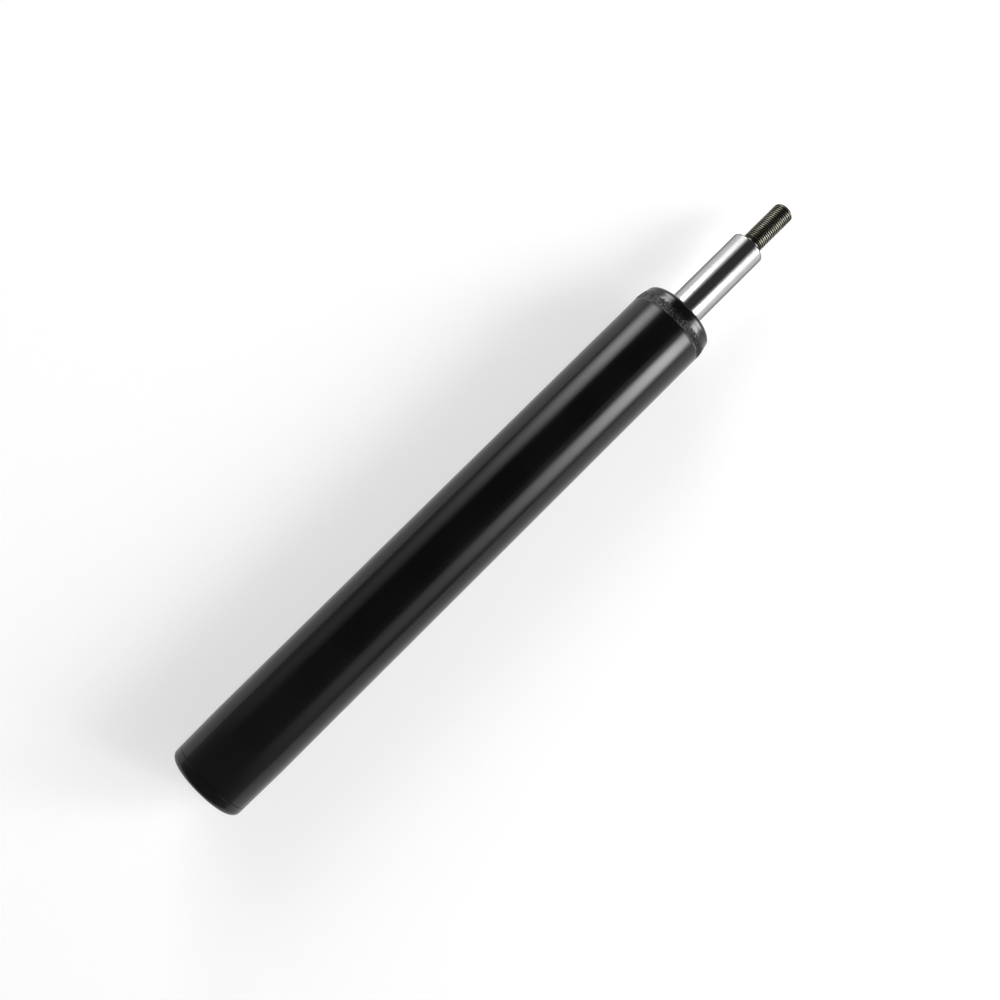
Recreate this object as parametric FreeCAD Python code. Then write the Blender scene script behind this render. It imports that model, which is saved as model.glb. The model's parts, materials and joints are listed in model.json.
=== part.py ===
import FreeCAD, Part
import math
import os

# Twin-tube shock absorber cartridge, lying along +X, in millimetres.
# The closed end's flat seat is at x = 0 and the chromed rod comes out at +X.
# It is drawn with the rod almost fully pushed in.

# Driving sizes: the shell
body_diameter = 46.5
body_length = 352.5
shell_wall = 1.75
closed_end_narrowing = 0.5
closed_end_taper_length = 32.0
closed_end_edge_radius = 3.6
cap_skirt = 6.5
cap_thickness = 3.0
cap_spigot_length = 6.0
joint_line_width = 0.5
joint_line_depth = 0.25

# Driving sizes: the rolled rim at the rod end
rim_length = 12.0
rim_crown_drop = 1.2
rim_edge_radius = 3.5
rim_lip_width = 3.0

# Driving sizes: the rod
rod_diameter = 20.0
rod_showing = 54.5
rod_end_chamfer = 0.8
stud_diameter = 12.0
stud_length = 30.0
stud_neck_length = 2.4
stud_neck_depth = 0.9
stud_end_chamfer = 1.5
spigot_diameter = 10.0
spigot_recess = 1.0
stroke = 160.0
compression_reserve = 3.0

# Driving sizes: the pressure tube and the gland
bore_diameter = 30.0
pressure_tube_wall = 1.5
guide_spigot_length = 7.0
guide_flange_height = 19.0
bush_wall = 1.5
bush_length = 15.0
seal_height = 5.0
seal_recess_wall = 5.0
seal_lip_wall = 1.6
seal_lip_length = 4.6
dust_lip_height = 3.4
garter_wire = 1.2
lip_cavity_room = 1.1
closing_ring_thickness = 2.5
closing_ring_opening = 27.0
ring_cord_diameter = 2.0
ring_groove_width = 2.8
ring_groove_offset = 4.0
drain_diameter = 2.4
drain_count = 3

# Driving sizes: the base valve
foot_height = 5.0
foot_ring_wall = 3.0
foot_slot_width = 6.0
foot_slot_count = 4
base_plate_thickness = 5.0
base_flange_reach = 1.5
base_flange_gap = 0.6
base_spigot_height = 3.0
intake_circle_radius = 11.4
intake_port_diameter = 2.8
intake_port_count = 8
bleed_circle_radius = 7.0
bleed_port_diameter = 1.8
bleed_port_count = 6
base_bolt_diameter = 6.0
base_bolt_head_thickness = 2.4
base_nut_width = 10.0
base_nut_height = 3.2
base_disc_stack = 0.9

# Driving sizes: the piston and its valves
piston_height = 14.0
piston_band_height = 8.0
piston_band_thickness = 0.8
piston_side_gap = 0.4
blow_circle_radius = 11.5
blow_port_diameter = 2.6
blow_port_count = 8
rebound_circle_radius = 8.0
rebound_port_diameter = 2.2
rebound_port_count = 6
port_overlap = 0.7
check_plate_thickness = 0.8
check_lift = 0.8
star_spring_thickness = 0.4
star_finger_count = 6
star_slot_width = 2.4
rebound_disc_stack = 1.0
rebound_plate_thickness = 2.0
rebound_plate_lift = 0.8
rebound_spring_length = 10.0
rebound_spring_wire = 1.9
rebound_spring_turns = 3.5
nut_hub_wall = 1.8
nut_flange_height = 7.0
nut_width = 19.0
valve_stop_thickness = 2.5

# Driving sizes: the rebound stop on the rod
collar_height = 8.0
collar_groove_depth = 0.8
collar_groove_width = 3.0
bumper_height = 12.0
stop_side_gap = 1.0

# Clearances: the fits are on the radius, the stop gap is left along the axis at both ends of the stroke
assembled_fit = 0.02
running_fit = 0.05
stop_gap = 0.05

# Radii that follow from the driving sizes
shell_radius = body_diameter / 2
shell_bore = shell_radius - shell_wall
rod_radius = rod_diameter / 2
stud_radius = stud_diameter / 2
spigot_radius = spigot_diameter / 2
bore_radius = bore_diameter / 2
pressure_tube_radius = bore_radius + pressure_tube_wall
bush_radius = rod_radius + running_fit + bush_wall
base_flange_radius = pressure_tube_radius + base_flange_reach
nut_hub_radius = spigot_radius + nut_hub_wall
boss_radius = nut_hub_radius
base_bolt_radius = base_bolt_diameter / 2

# Stations of the shell along x, from the seat to the rim
cap_floor = cap_thickness
rim_top = body_length
rim_underside = rim_top - shell_wall
rim_start = rim_top - rim_length
rim_edge_start = rim_top - rim_edge_radius
rim_edge_outside = shell_radius - rim_crown_drop
rim_edge_centre = rim_edge_outside - rim_edge_radius
rim_lip_bore = rim_edge_centre - rim_lip_width
end_edge_outside = shell_radius - closed_end_narrowing

# Stations of the base valve
base_plate_bottom = cap_floor + foot_height
base_flange_top = base_plate_bottom + base_plate_thickness
base_top = base_flange_top + base_spigot_height
check_stack = check_plate_thickness + check_lift
base_boss_top = base_top + check_stack
base_head_bottom = base_boss_top + star_spring_thickness
base_head_top = base_head_bottom + base_bolt_head_thickness
base_disc_bottom = base_plate_bottom - base_disc_stack
base_nut_bottom = base_disc_bottom - base_nut_height

# Stations of the gland, from the rim downwards
closing_ring_bottom = rim_underside - closing_ring_thickness
guide_top = closing_ring_bottom
guide_shoulder = guide_top - guide_flange_height
guide_bottom = guide_shoulder - guide_spigot_length
bush_top = guide_bottom + bush_length
seal_bottom = guide_top - seal_height
seal_recess_radius = rod_radius + seal_recess_wall
lip_outside = rod_radius + running_fit + seal_lip_wall
lip_cavity_radius = lip_outside + garter_wire + lip_cavity_room

# Stations of the rod and its pieces, drawn with the rod pushed in
rod_shoulder = rim_top + rod_showing
stud_end = rod_shoulder + stud_length
stack_bottom = base_head_top + compression_reserve
nut_bottom = stack_bottom + stop_gap
nut_flange_top = stack_bottom + nut_flange_height
spring_top = nut_flange_top + rebound_spring_length
rebound_plate_top = spring_top + rebound_plate_thickness
piston_bottom = rebound_plate_top + rebound_disc_stack
piston_top = piston_bottom + piston_height
piston_boss_top = piston_top + check_stack
valve_stop_bottom = piston_boss_top + star_spring_thickness
valve_stop_top = valve_stop_bottom + valve_stop_thickness
spigot_end = stack_bottom + spigot_recess
stop_line = guide_bottom - stroke
bumper_top = stop_line - stop_gap
bumper_bottom = stop_line - bumper_height
collar_bottom = bumper_bottom - collar_height
stop_radius = bore_radius - stop_side_gap

# Port cover rings: each reaches past its ports by the same overlap
base_cover_inside = intake_circle_radius - intake_port_diameter / 2 - port_overlap
base_cover_outside = intake_circle_radius + intake_port_diameter / 2 + port_overlap
blow_cover_inside = blow_circle_radius - blow_port_diameter / 2 - port_overlap
blow_cover_outside = blow_circle_radius + blow_port_diameter / 2 + port_overlap
bleed_cover_outside = bleed_circle_radius + bleed_port_diameter / 2 + port_overlap
rebound_cover_outside = rebound_circle_radius + rebound_port_diameter / 2 + port_overlap

origin = FreeCAD.Vector(0, 0, 0)
along = FreeCAD.Vector(1, 0, 0)


def outline_point(x, radius):
    """A corner of a turned outline: x along the axis, radius out from it."""
    return FreeCAD.Vector(x, radius, 0)


def turned(corners, arcs=None):
    """Revolve a closed outline of (x, radius) corners about the x axis.

    arcs names, by the number of the corner a side starts at, the point that
    side's circular arc passes through; every other side is straight.
    """
    arcs = arcs or {}
    points = [outline_point(x, radius) for x, radius in corners]
    edges = []
    for number, start in enumerate(points):
        end = points[(number + 1) % len(points)]
        if number in arcs:
            through = outline_point(*arcs[number])
            edges.append(Part.Arc(start, through, end).toShape())
        else:
            edges.append(Part.LineSegment(start, end).toShape())
    face = Part.Face(Part.Wire(edges))
    return face.revolve(origin, along, 360)


def ring(bottom, top, inside, outside):
    """A plain ring or disc between two stations."""
    return turned([(bottom, inside), (bottom, outside), (top, outside), (top, inside)])


def round_edge(centre_x, centre_radius, size, angle):
    """A point on a rounded edge: angle 0 faces outwards, 90 faces along +x."""
    turn = math.radians(angle)
    return (centre_x + size * math.sin(turn), centre_radius + size * math.cos(turn))


def around(tool, count, first_angle=0.0):
    """Copies of a cutting tool spread evenly around the x axis, as one compound."""
    copies = []
    for number in range(count):
        copy = tool.copy()
        copy.rotate(origin, along, first_angle + 360.0 * number / count)
        copies.append(copy)
    return Part.makeCompound(copies)


def drill(start_x, start_radius, end_x, end_radius, diameter):
    """A drill between two points of the x-radius plane, straight or slanted."""
    start = outline_point(start_x, start_radius)
    path = outline_point(end_x, end_radius) - start
    return Part.makeCylinder(diameter / 2, path.Length, start, path)


def hexagon(bottom, top, width):
    """A hexagonal bar between two stations, given its width across the flats."""
    reach = width / math.sqrt(3)
    corners = []
    for number in range(7):
        turn = math.radians(60 * number)
        corners.append(FreeCAD.Vector(bottom, reach * math.cos(turn), reach * math.sin(turn)))
    face = Part.Face(Part.makePolygon(corners))
    return face.extrude(FreeCAD.Vector(top - bottom, 0, 0))


def save(shape, name):
    """Write a sub-part as its own file."""
    shape.exportStep("parts/" + name + ".step")


def taper_radius(x):
    """Outside radius of the shell where it narrows towards the closed end."""
    share = (x - closed_end_edge_radius) / (closed_end_taper_length - closed_end_edge_radius)
    return end_edge_outside + closed_end_narrowing * share


def make_outer_tube():
    """Shell tube: slightly narrowed at the cap, rolled inwards over the gland."""
    inner_edge = rim_edge_radius - shell_wall
    inner_crown = shell_bore - rim_crown_drop
    rim_middle = (rim_start + rim_edge_start) / 2
    crown_bow = rim_crown_drop / 4
    line_end = rim_start + joint_line_width
    line_middle = (rim_start + line_end) / 2
    corners = [
        (cap_skirt + joint_line_width / 2, shell_bore),
        (cap_skirt + joint_line_width / 2, taper_radius(cap_skirt) - joint_line_depth),
        (cap_skirt + joint_line_width, taper_radius(cap_skirt + joint_line_width)),
        (closed_end_taper_length, shell_radius),
        (rim_start, shell_radius),
        (line_middle, shell_radius - joint_line_depth),
        (line_end, shell_radius),
        (rim_edge_start, rim_edge_outside),
        (rim_top, rim_edge_centre),
        (rim_top, rim_lip_bore),
        (rim_underside, rim_lip_bore),
        (rim_underside, rim_edge_centre),
        (rim_edge_start, inner_crown),
        (rim_start, shell_bore),
    ]
    arcs = {
        6: (rim_middle, shell_radius - crown_bow),
        7: round_edge(rim_edge_start, rim_edge_centre, rim_edge_radius, 45),
        11: round_edge(rim_edge_start, rim_edge_centre, inner_edge, 45),
        12: (rim_middle, shell_bore - crown_bow),
    }
    return turned(corners, arcs)


def make_base_cap():
    """Pressed end cap with a rounded edge, its spigot inside the shell tube."""
    skirt_end = cap_skirt + joint_line_width / 2
    spigot_outside = shell_bore - assembled_fit
    spigot_inside = base_flange_radius + base_flange_gap
    spigot_top = skirt_end + cap_spigot_length
    edge_centre = end_edge_outside - closed_end_edge_radius
    corners = [
        (0, 0),
        (0, edge_centre),
        (closed_end_edge_radius, end_edge_outside),
        (cap_skirt, taper_radius(cap_skirt)),
        (skirt_end, taper_radius(cap_skirt) - joint_line_depth),
        (skirt_end, spigot_outside),
        (spigot_top, spigot_outside),
        (spigot_top, spigot_inside),
        (cap_floor, spigot_inside),
        (cap_floor, 0),
    ]
    arcs = {1: round_edge(closed_end_edge_radius, edge_centre, closed_end_edge_radius, -45)}
    return turned(corners, arcs)


def make_pressure_tube():
    """Inner working cylinder, held between the base valve and the rod guide."""
    return ring(base_flange_top, guide_shoulder, bore_radius, pressure_tube_radius)


def make_base_valve_body():
    """Base valve body on slotted feet, with a port ring for each flow direction."""
    flange = base_flange_radius
    foot_inside = flange - foot_ring_wall
    spigot = bore_radius - assembled_fit
    hole = base_bolt_radius + assembled_fit
    boss = base_bolt_radius + nut_hub_wall
    body = turned([
        (base_plate_bottom, hole),
        (base_plate_bottom, foot_inside),
        (cap_floor, foot_inside),
        (cap_floor, flange),
        (base_flange_top, flange),
        (base_flange_top, spigot),
        (base_top, spigot),
        (base_top, boss),
        (base_boss_top, boss),
        (base_boss_top, hole),
    ])
    slot = Part.makeBox(foot_height, flange, foot_slot_width)
    slot.translate(FreeCAD.Vector(cap_floor, foot_inside - foot_ring_wall, -foot_slot_width / 2))
    intake = drill(cap_floor, intake_circle_radius, base_boss_top, intake_circle_radius, intake_port_diameter)
    bleed = drill(cap_floor, bleed_circle_radius, base_boss_top, bleed_circle_radius, bleed_port_diameter)
    body = body.cut(around(slot, foot_slot_count))
    body = body.cut(around(intake, intake_port_count))
    return body.cut(around(bleed, bleed_port_count, 180.0 / bleed_port_count))


def make_base_valve_bolt():
    """Bolt that holds the base valve together; its wide head limits the check plate."""
    return turned([
        (base_nut_bottom, 0),
        (base_nut_bottom, base_bolt_radius),
        (base_head_bottom, base_bolt_radius),
        (base_head_bottom, base_cover_inside),
        (base_head_top, base_cover_inside),
        (base_head_top, 0),
    ])


def make_nut(bottom, top, width, hole):
    """Plain hexagon nut."""
    return hexagon(bottom, top, width).cut(ring(bottom, top, 0, hole))


def make_star_spring(hub_bottom, hub_inside, hub_outside, tip_bottom, tip_radius):
    """Thin star spring: a flat hub clamped at its bore, with fingers dropping to a plate."""
    thickness = star_spring_thickness
    blank = turned([
        (hub_bottom, hub_inside),
        (hub_bottom, hub_outside),
        (tip_bottom, tip_radius),
        (tip_bottom + thickness, tip_radius),
        (hub_bottom + thickness, hub_outside),
        (hub_bottom + thickness, hub_inside),
    ])
    height = hub_bottom + 2 * thickness - tip_bottom
    slot = Part.makeBox(height + thickness, tip_radius, star_slot_width)
    slot.translate(FreeCAD.Vector(tip_bottom - thickness / 2, hub_outside, -star_slot_width / 2))
    return blank.cut(around(slot, star_finger_count))


def make_rod_guide():
    """Rod guide: flange in the shell, spigot in the pressure tube, seal pocket on top."""
    outside = shell_bore - assembled_fit
    top_outside = shell_bore - rim_crown_drop - 2 * assembled_fit
    bush_seat = bush_radius + assembled_fit
    groove_bottom = guide_shoulder + ring_groove_offset
    groove_top = groove_bottom + ring_groove_width
    groove_radius = shell_bore - ring_cord_diameter - assembled_fit
    guide = turned([
        (guide_bottom, bush_seat),
        (guide_bottom, bore_radius - assembled_fit),
        (guide_shoulder, bore_radius - assembled_fit),
        (guide_shoulder, outside),
        (groove_bottom, outside),
        (groove_bottom, groove_radius),
        (groove_top, groove_radius),
        (groove_top, outside),
        (rim_start - joint_line_width, outside),
        (guide_top, top_outside),
        (guide_top, seal_recess_radius + assembled_fit),
        (seal_bottom, seal_recess_radius + assembled_fit),
        (seal_bottom, lip_cavity_radius),
        (bush_top, lip_cavity_radius),
        (bush_top, bush_seat),
    ])
    drain = drill(
        bush_top + drain_diameter,
        bush_radius,
        guide_shoulder - drain_diameter,
        pressure_tube_radius + drain_diameter,
        drain_diameter,
    )
    return guide.cut(around(drain, drain_count))


def make_guide_bush():
    """Thin plain bearing pressed into the rod guide."""
    return ring(guide_bottom, bush_top, rod_radius + running_fit, bush_radius)


def make_rod_seal():
    """Rod seal: flat body in the guide's pocket, oil lip below, dust lip above."""
    wipe = rod_radius + running_fit
    lip_bottom = seal_bottom - seal_lip_length
    dust_top = guide_top + dust_lip_height
    garter_middle = seal_bottom - seal_lip_length / 2
    garter_seat = garter_wire / 2
    return turned([
        (lip_bottom, wipe),
        (lip_bottom, lip_outside),
        (garter_middle - garter_seat, lip_outside),
        (garter_middle + garter_seat, lip_outside),
        (seal_bottom, lip_outside),
        (seal_bottom, seal_recess_radius),
        (guide_top, seal_recess_radius),
        (guide_top, lip_outside),
        (dust_top, wipe + seal_lip_wall / 2),
        (dust_top, wipe),
    ], {2: (garter_middle, lip_outside - garter_seat / 2)})


def make_garter_spring():
    """Garter spring ring that presses the oil lip onto the rod."""
    middle = seal_bottom - seal_lip_length / 2
    size = garter_wire / 2
    radius = lip_outside + size / 2 + assembled_fit
    return Part.makeTorus(radius, size, FreeCAD.Vector(middle, 0, 0), along)


def make_closing_ring():
    """Steel ring under the rolled lip; its bevelled edge follows the rim."""
    outside = shell_bore - rim_crown_drop - 2 * assembled_fit
    inside = closing_ring_opening / 2
    return turned([
        (closing_ring_bottom, inside),
        (closing_ring_bottom, outside),
        (rim_edge_start - assembled_fit, outside),
        (rim_underside, rim_edge_centre),
        (rim_underside, inside),
    ])


def make_guide_ring():
    """Rubber cord ring that seals the rod guide to the shell tube."""
    middle = guide_shoulder + ring_groove_offset + ring_groove_width / 2
    size = ring_cord_diameter / 2
    radius = shell_bore - size - assembled_fit / 2
    return Part.makeTorus(radius, size, FreeCAD.Vector(middle, 0, 0), along)


def make_stud():
    """Stud at the rod's outer end, with a relief at its foot and a bevelled tip."""
    neck_radius = stud_radius - stud_neck_depth
    neck_end = rod_shoulder + stud_neck_length
    return turned([
        (rod_shoulder, 0),
        (rod_shoulder, neck_radius),
        (neck_end, neck_radius),
        (neck_end + stud_neck_depth, stud_radius),
        (stud_end - stud_end_chamfer, stud_radius),
        (stud_end, stud_radius - stud_end_chamfer),
        (stud_end, 0),
    ])


def make_piston_rod():
    """Chromed rod with its stud and, at the inner end, a spigot for the piston."""
    groove_bottom = collar_bottom + (collar_height - collar_groove_width) / 2
    groove_top = groove_bottom + collar_groove_width
    groove_radius = rod_radius - collar_groove_depth
    shaft = turned([
        (spigot_end, 0),
        (spigot_end, spigot_radius),
        (valve_stop_top, spigot_radius),
        (valve_stop_top, rod_radius),
        (groove_bottom, rod_radius),
        (groove_bottom, groove_radius),
        (groove_top, groove_radius),
        (groove_top, rod_radius),
        (rod_shoulder - rod_end_chamfer, rod_radius),
        (rod_shoulder, rod_radius - rod_end_chamfer),
        (rod_shoulder, 0),
    ])
    return Part.makeCompound([shaft, make_stud()])


def make_rebound_collar():
    """Stop collar swaged into a groove of the rod."""
    hole = rod_radius + assembled_fit
    rib = hole - collar_groove_depth
    rib_bottom = collar_bottom + (collar_height - collar_groove_width) / 2 + assembled_fit
    rib_top = rib_bottom + collar_groove_width - 2 * assembled_fit
    return turned([
        (collar_bottom, hole),
        (collar_bottom, stop_radius),
        (bumper_bottom, stop_radius),
        (bumper_bottom, hole),
        (rib_top, hole),
        (rib_top, rib),
        (rib_bottom, rib),
        (rib_bottom, hole),
    ])


def make_rebound_bumper():
    """Elastic ring that meets the rod guide at full extension."""
    bow = bumper_height / 12
    middle = (bumper_bottom + bumper_top) / 2
    hole = rod_radius + running_fit
    return turned([
        (bumper_bottom, hole),
        (bumper_bottom, stop_radius - bow),
        (bumper_top, stop_radius - bow),
        (bumper_top, hole),
    ], {1: (middle, stop_radius)})


def make_piston():
    """Piston with a port ring for each flow direction and a groove for its band."""
    outside = bore_radius - piston_side_gap
    groove = bore_radius - running_fit - piston_band_thickness - running_fit
    middle = (piston_bottom + piston_top) / 2
    groove_bottom = middle - piston_band_height / 2 - running_fit
    groove_top = middle + piston_band_height / 2 + running_fit
    hole = spigot_radius + assembled_fit
    rim = outside - piston_side_gap
    piston = turned([
        (piston_bottom, hole),
        (piston_bottom, rim),
        (piston_bottom + piston_side_gap, outside),
        (groove_bottom, outside),
        (groove_bottom, groove),
        (groove_top, groove),
        (groove_top, outside),
        (piston_top - piston_side_gap, outside),
        (piston_top, rim),
        (piston_top, boss_radius),
        (piston_boss_top, boss_radius),
        (piston_boss_top, hole),
    ])
    blow = drill(piston_bottom, blow_circle_radius, piston_top, blow_circle_radius, blow_port_diameter)
    rebound = drill(
        piston_bottom, rebound_circle_radius, piston_top, rebound_circle_radius, rebound_port_diameter
    )
    piston = piston.cut(around(blow, blow_port_count))
    return piston.cut(around(rebound, rebound_port_count, 180.0 / rebound_port_count))


def make_piston_band():
    """Low-friction band around the piston, sliding in the pressure tube."""
    middle = (piston_bottom + piston_top) / 2
    outside = bore_radius - running_fit
    return ring(
        middle - piston_band_height / 2,
        middle + piston_band_height / 2,
        outside - piston_band_thickness,
        outside,
    )


def make_rebound_spring():
    """Coil spring with flat ground ends that loads the rebound plate."""
    wire = rebound_spring_wire
    mean = (nut_hub_radius + rebound_cover_outside) / 2
    pitch = rebound_spring_length / rebound_spring_turns
    helix = Part.makeHelix(pitch, rebound_spring_length, mean)
    section = Part.Wire(Part.makeCircle(wire / 2, FreeCAD.Vector(mean, 0, 0), FreeCAD.Vector(0, 1, 0)))
    coil = Part.Wire(helix).makePipeShell([section], True, True)
    coil.rotate(origin, FreeCAD.Vector(0, 1, 0), 90)
    coil.translate(FreeCAD.Vector(nut_flange_top, 0, 0))
    return coil.common(ring(nut_flange_top, spring_top, 0, bore_radius))


def make_piston_nut():
    """Piston nut: hexagon flange for the spring, round hub that clamps the discs."""
    hole = spigot_radius + assembled_fit
    flange = make_nut(nut_bottom, nut_flange_top, nut_width, hole)
    hub = ring(nut_flange_top, rebound_plate_top, hole, nut_hub_radius)
    return flange.fuse(hub).removeSplitter()


def make_all():
    """Build every sub-part and write each to its own file."""
    os.makedirs("parts", exist_ok=True)
    spigot_hole = spigot_radius + assembled_fit
    bolt_hole = base_bolt_radius + assembled_fit
    base_boss = base_bolt_radius + nut_hub_wall
    save(make_outer_tube(), "outer_tube")
    save(make_base_cap(), "base_cap")
    save(make_pressure_tube(), "pressure_tube")
    save(make_base_valve_body(), "base_valve_body")
    save(make_base_valve_bolt(), "base_valve_bolt")
    save(make_nut(base_nut_bottom, base_disc_bottom, base_nut_width, bolt_hole), "base_valve_nut")
    save(ring(base_disc_bottom, base_plate_bottom, bolt_hole, bleed_cover_outside), "base_valve_discs")
    base_check_top = base_top + check_plate_thickness
    save(ring(base_top, base_check_top, base_cover_inside, base_cover_outside), "base_check_plate")
    save(
        make_star_spring(base_boss_top, bolt_hole, base_boss, base_check_top, intake_circle_radius),
        "base_check_spring",
    )
    save(make_rod_guide(), "rod_guide")
    save(make_guide_bush(), "guide_bush")
    save(make_rod_seal(), "rod_seal")
    save(make_garter_spring(), "garter_spring")
    save(make_closing_ring(), "closing_ring")
    save(make_guide_ring(), "guide_ring")
    save(make_piston_rod(), "piston_rod")
    save(make_rebound_collar(), "rebound_collar")
    save(make_rebound_bumper(), "rebound_bumper")
    save(ring(valve_stop_bottom, valve_stop_top, spigot_hole, blow_cover_outside), "valve_stop")
    piston_check_top = piston_top + check_plate_thickness
    save(ring(piston_top, piston_check_top, blow_cover_inside, blow_cover_outside), "piston_check_plate")
    save(
        make_star_spring(piston_boss_top, spigot_hole, boss_radius, piston_check_top, blow_circle_radius),
        "piston_check_spring",
    )
    save(make_piston(), "piston")
    save(make_piston_band(), "piston_band")
    save(ring(rebound_plate_top, piston_bottom, spigot_hole, rebound_cover_outside), "rebound_discs")
    plate_hole = nut_hub_radius + running_fit
    save(ring(spring_top, rebound_plate_top, plate_hole, rebound_cover_outside), "rebound_plate")
    save(make_rebound_spring(), "rebound_spring")
    save(make_piston_nut(), "piston_nut")


make_all()
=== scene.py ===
"""Looks of a twin-tube strut cartridge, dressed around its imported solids.

Lengths in size fields are in millimetres, in the part's frame: the axis is X, the closed end's seat is at 0
and the rod comes out at +X. Meshes are in metres.
"""
import json
import logging
import math
from dataclasses import dataclass, replace
from enum import Enum
from typing import Any, Callable, Mapping, Optional, Sequence, Union

import bpy
from mathutils import Matrix, Vector


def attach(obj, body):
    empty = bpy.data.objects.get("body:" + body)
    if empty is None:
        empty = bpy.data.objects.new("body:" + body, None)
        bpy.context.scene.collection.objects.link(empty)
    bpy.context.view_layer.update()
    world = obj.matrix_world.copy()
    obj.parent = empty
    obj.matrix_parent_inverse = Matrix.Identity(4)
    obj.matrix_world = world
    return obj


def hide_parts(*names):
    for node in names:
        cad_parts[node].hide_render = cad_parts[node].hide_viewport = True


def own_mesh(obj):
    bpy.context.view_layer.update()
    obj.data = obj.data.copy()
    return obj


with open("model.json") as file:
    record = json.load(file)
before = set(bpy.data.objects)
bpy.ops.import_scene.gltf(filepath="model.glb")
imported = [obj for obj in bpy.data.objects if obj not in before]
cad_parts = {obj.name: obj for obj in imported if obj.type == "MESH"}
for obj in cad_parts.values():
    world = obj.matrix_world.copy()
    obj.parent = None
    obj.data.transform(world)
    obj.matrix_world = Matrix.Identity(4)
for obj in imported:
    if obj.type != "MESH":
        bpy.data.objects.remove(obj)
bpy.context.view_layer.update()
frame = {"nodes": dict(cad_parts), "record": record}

LOG = logging.getLogger("strut_cartridge")
MM = 0.001
# Points closer than this, in metres, are one point
MERGE = 1e-6
# Neighbouring turns of a thread meet within this
TURN_MERGE = 5e-6
# Edges that turn more than this, in degrees, stay sharp
SHARP = 25.0
# Values between which a noise pattern mostly lies
NOISE_LOW = 0.3
NOISE_HIGH = 0.7
MULTIPLY = {"operation": "MULTIPLY"}

Pair = tuple[float, float]
Colour = tuple[float, float, float, float]
Piece = bpy.types.Object
Tree = bpy.types.NodeTree
Node = bpy.types.Node
Source = Union[Node, bpy.types.NodeSocket]
# What feeds a shader's inputs, by their names
Look = dict[str, Source]


class Lay(Enum):
    """Direction of the marks that making leaves on a surface."""

    AROUND = (1.0, 0.03, 0.03)
    ALONG = (0.03, 1.0, 1.0)
    CLOUDED = (1.0, 1.0, 1.0)


class Side(Enum):
    """Side of the axis that a softbox stands on, as the sign of y."""

    LEFT = 1.0
    RIGHT = -1.0


class Cut(Enum):
    """What a cutter does to the piece that it meets."""

    KEEP_INSIDE = "INTERSECT"
    TAKE_AWAY = "DIFFERENCE"


def linear(hex_colour: str) -> Colour:
    """Turn an sRGB hex colour into linear light.

    Args:
        hex_colour: six hex digits, with or without a leading hash.

    Returns:
        Red, green, blue and alpha, from 0 to 1.
    """
    digits = hex_colour.lstrip("#")
    channels = [int(digits[i:i + 2], 16) / 255 for i in (0, 2, 4)]
    light = [c / 12.92 if c <= 0.04045 else ((c + 0.055) / 1.055) ** 2.4 for c in channels]
    return (light[0], light[1], light[2], 1.0)


def grey(light: float) -> Colour:
    """Return an even grey with this much linear light."""
    return (light, light, light, 1.0)


def new_tree(owner: bpy.types.ID) -> Tree:
    """Give a material or a world an empty node tree.

    Args:
        owner: the material or the world.

    Returns:
        Its node tree.
    """
    owner.use_nodes = True
    owner.node_tree.nodes.clear()
    return owner.node_tree


def add_node(tree: Tree, kind: str, settings: Optional[Mapping[Any, Any]] = None,
             links: Optional[Mapping[Any, Source]] = None) -> Node:
    """Add a shader node with its settings and links.

    Args:
        tree: node tree to add to.
        kind: Blender's node type name, after its ShaderNode.
        settings: node properties by name, or input values by socket name or number.
        links: what feeds an input, by its name or number: a socket, or a node's first output.

    Returns:
        The new node.
    """
    node = tree.nodes.new("ShaderNode" + kind)
    for key, value in (settings or {}).items():
        if isinstance(key, str) and hasattr(node, key):
            setattr(node, key, value)
        else:
            node.inputs[key].default_value = value
    for key, source in (links or {}).items():
        tree.links.new(source.outputs[0] if isinstance(source, Node) else source, node.inputs[key])
    return node


def set_ramp(node: Node, stops: Sequence[tuple[float, Colour]]) -> None:
    """Give a colour ramp its stops.

    Args:
        node: colour ramp node.
        stops: position and linear colour of each stop, in order.
    """
    elements = node.color_ramp.elements
    while len(elements) < len(stops):
        elements.new(1.0)
    for element, (position, colour) in zip(elements, stops):
        element.position = position
        element.color = colour


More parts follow.
